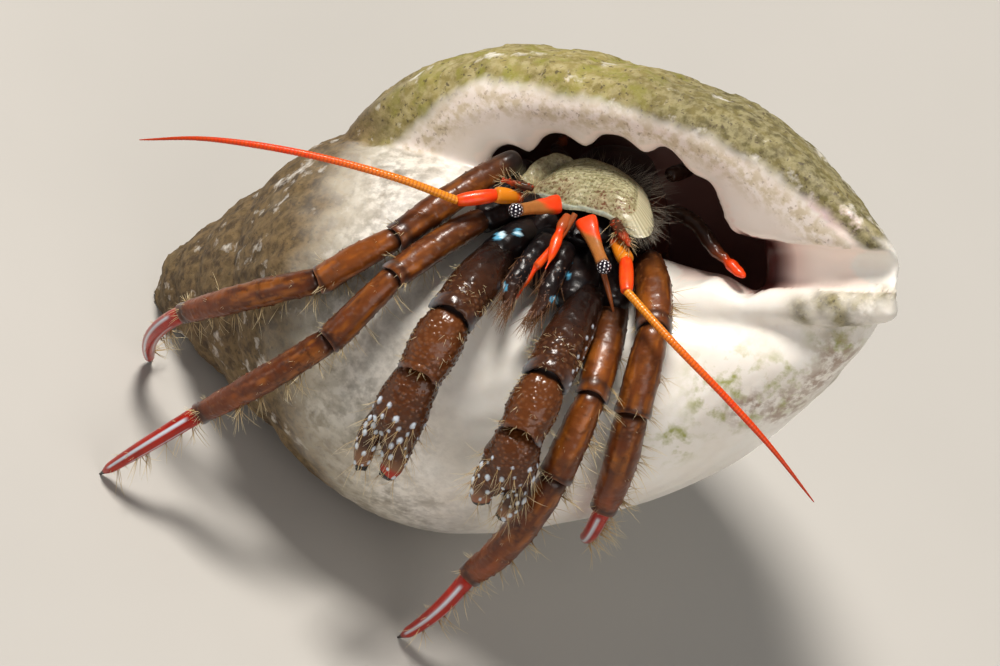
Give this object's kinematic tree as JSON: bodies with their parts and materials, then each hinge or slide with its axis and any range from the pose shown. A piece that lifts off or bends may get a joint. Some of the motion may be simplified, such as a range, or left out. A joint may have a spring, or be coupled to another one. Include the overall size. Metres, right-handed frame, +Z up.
{
  "type": "hermit crab in a whelk shell",
  "caption": "Small striped-leg hermit crab leaning out of a thick-lipped dog whelk shell, claws and walking legs spread over the shell's front, long feelers out to the sides.",
  "frame": {"origin": "middle of the footprint on the floor under the shell and the toes", "axes": "+Z up, -Y the way the crab faces, +X toward the crab's left and the canal end of the shell"},
  "size_m": [0.032, 0.0222, 0.0248],
  "materials": {
    "whelk_shell": "worn shell, smooth inside the lip",
    "shield": "thin chalky armour, mottled",
    "leg_armour": "wet chitin",
    "toe_armour": "wet chitin",
    "claw_armour": "wet chitin with pale tubercles",
    "eyestalk": "wet chitin",
    "eye": "glossy cornea",
    "feeler": "wet chitin",
    "mouthpart": "dark wet chitin with bristles",
    "soft_skin": "thin soft skin"
  },
  "bodies": {
    "root": {"leg_right_third_merus": "leg_armour", "leg_right_third_carpus": "leg_armour", "leg_right_third_propodus": "leg_armour", "leg_right_third_dactyl": "toe_armour", "leg_right_second_merus": "leg_armour", "leg_right_second_carpus": "leg_armour", "leg_right_second_propodus": "leg_armour", "leg_right_second_dactyl": "toe_armour", "leg_left_second_merus": "leg_armour", "leg_left_second_carpus": "leg_armour", "leg_left_second_propodus": "leg_armour", "leg_left_second_dactyl": "toe_armour", "leg_left_third_merus": "leg_armour", "leg_left_third_carpus": "leg_armour", "leg_left_third_propodus": "leg_armour", "leg_left_third_dactyl": "toe_armour", "cheliped_right_merus": "claw_armour", "cheliped_right_carpus": "claw_armour", "cheliped_right_palm": "claw_armour", "cheliped_right_finger": "claw_armour", "cheliped_left_merus": "claw_armour", "cheliped_left_carpus": "claw_armour", "cheliped_left_palm": "claw_armour", "cheliped_left_finger": "claw_armour", "eyestalk_right": "eyestalk", "eye_right": "eye", "eyestalk_left": "eyestalk", "eye_left": "eye", "antennule_right": "feeler", "antennule_left": "feeler", "antenna_base_right": "feeler", "antenna_scale_right": "mouthpart", "antenna_whip_right_near": "feeler", "antenna_whip_right_far": "feeler", "antenna_base_left": "feeler", "antenna_scale_left": "mouthpart", "antenna_whip_left_near": "feeler", "antenna_whip_left_far": "feeler", "maxilliped_right": "mouthpart", "maxilliped_left": "mouthpart", "shield": "shield", "thorax": "mouthpart", "carapace_rear": "soft_skin", "abdomen_front": "soft_skin", "abdomen_middle": "soft_skin", "abdomen_rear": "soft_skin", "tail_fan": "soft_skin", "leg_right_fourth": "leg_armour", "leg_left_fourth": "leg_armour", "leg_right_fifth": "leg_armour", "leg_left_fifth": "leg_armour", "shell": "whelk_shell"}
  },
  "joints": []
}
